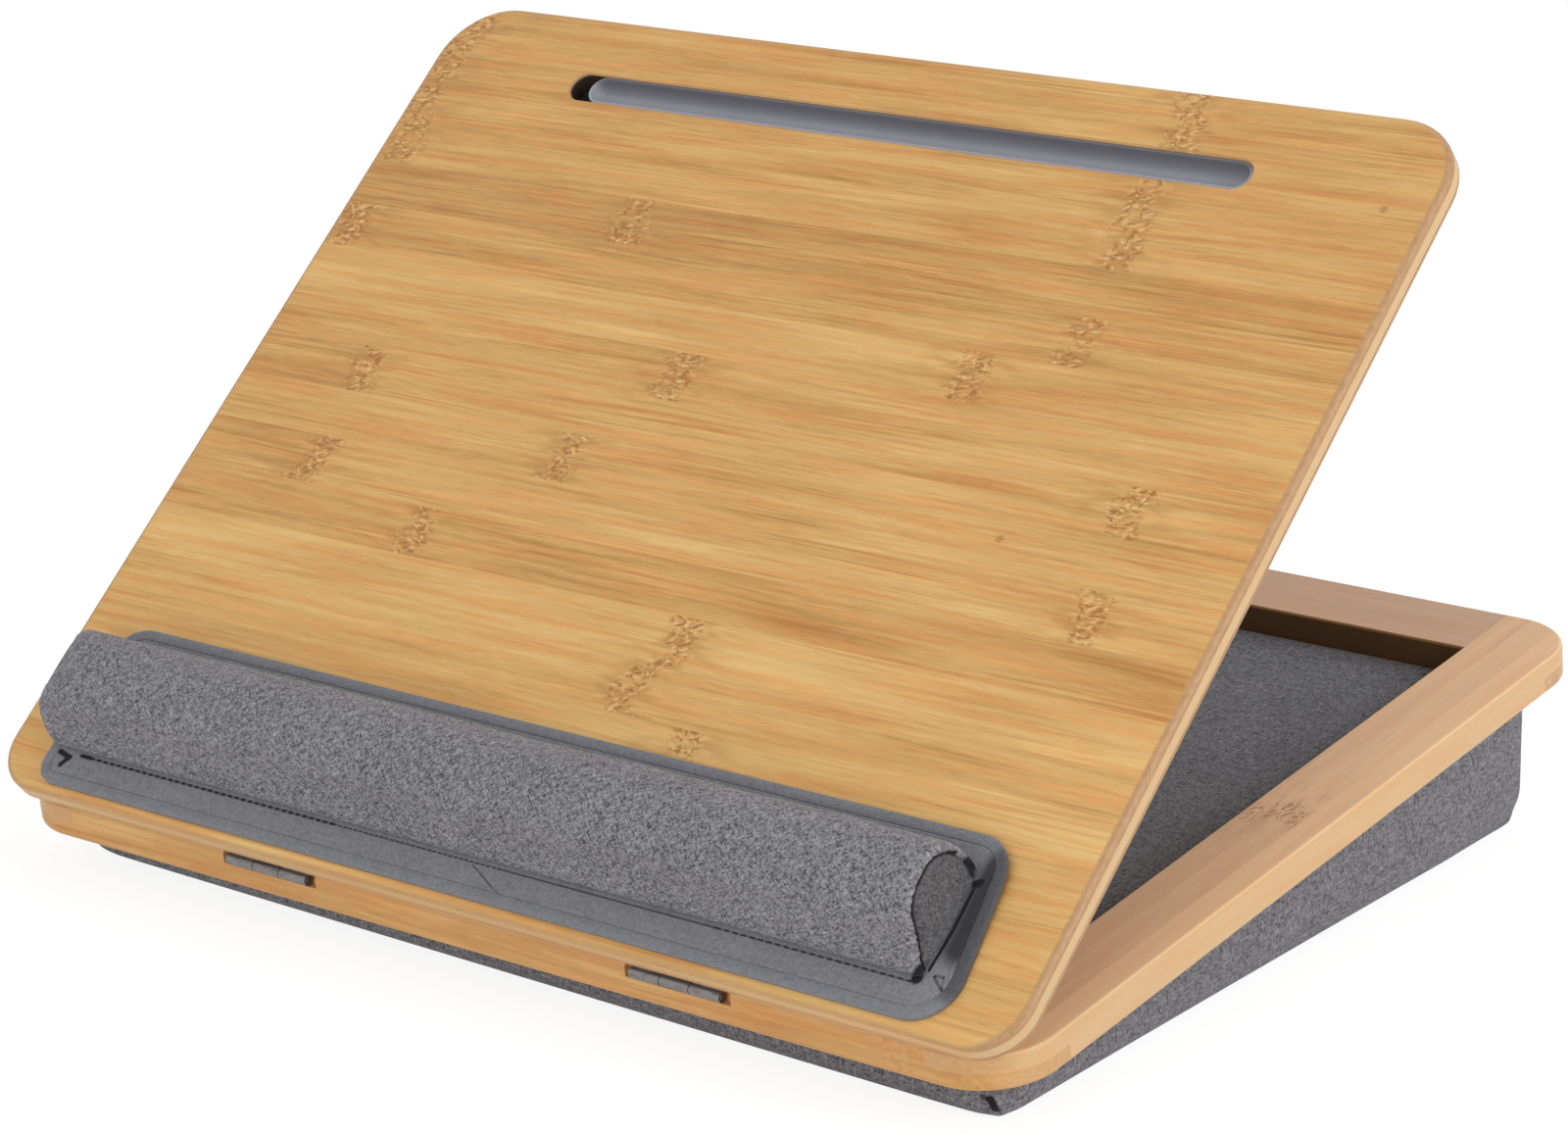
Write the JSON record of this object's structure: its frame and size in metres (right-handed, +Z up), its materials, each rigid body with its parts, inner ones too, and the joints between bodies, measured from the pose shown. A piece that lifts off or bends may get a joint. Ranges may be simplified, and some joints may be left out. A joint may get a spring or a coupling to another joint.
{
  "type": "lap desk with lift lid",
  "caption": "Wedge-cushioned lap desk: bamboo tray with a front-hinged lift lid, device slot and padded wrist rest, lid propped open.",
  "frame": {"origin": "middle of the cushion's flat resting face, on the surface it stands on", "axes": "+X to the user's right along the hinge, +Y away from the user towards the high end, +Z up"},
  "size_m": [0.43, 0.3595, 0.2624],
  "materials": {
    "bamboo_lid": "satin",
    "bamboo_frame": "satin",
    "board": "matte",
    "tray_felt": "matte",
    "cushion_fabric": "matte",
    "cushion_filling": "matte",
    "hinge_steel": "satin",
    "screw_steel": "satin",
    "liner_rubber": "matte",
    "backing_sheet": "matte",
    "rest_fabric": "matte",
    "rest_pad": "matte",
    "rest_binding": "matte",
    "rest_filling": "matte"
  },
  "bodies": {
    "base": {"rail_left": "bamboo_frame", "rail_right": "bamboo_frame", "rail_front": "bamboo_frame", "rail_back": "bamboo_frame", "tray_board": "board", "tray_board_screws": "screw_steel", "tray_lining": "tray_felt", "cushion_foam": "cushion_filling", "cushion_cover": "cushion_fabric", "hinge_leaf_frame_left": "hinge_steel", "hinge_leaf_frame_right": "hinge_steel", "hinge_pin_left": "hinge_steel", "hinge_pin_right": "hinge_steel", "hinge_frame_screws": "screw_steel"},
    "lid": {"lid_panel": "bamboo_lid", "slot_liner": "liner_rubber", "slot_backing": "backing_sheet", "hinge_leaf_lid_left": "hinge_steel", "hinge_leaf_lid_right": "hinge_steel", "hinge_lid_screws": "screw_steel", "wrist_rest_base": "rest_pad", "wrist_rest_binding": "rest_binding", "wrist_rest_cover": "rest_fabric", "wrist_rest_foam": "rest_filling", "wrist_rest_cap_left": "rest_fabric", "wrist_rest_cap_right": "rest_fabric"}
  },
  "joints": [
    {"name": "lid_hinge", "type": "hinge", "parent": "base", "child": "lid", "pos_m": [0, -0.17451, 0.02352], "axis": [1, 0, 0], "range_deg": [-34.2, 65.8]}
  ]
}
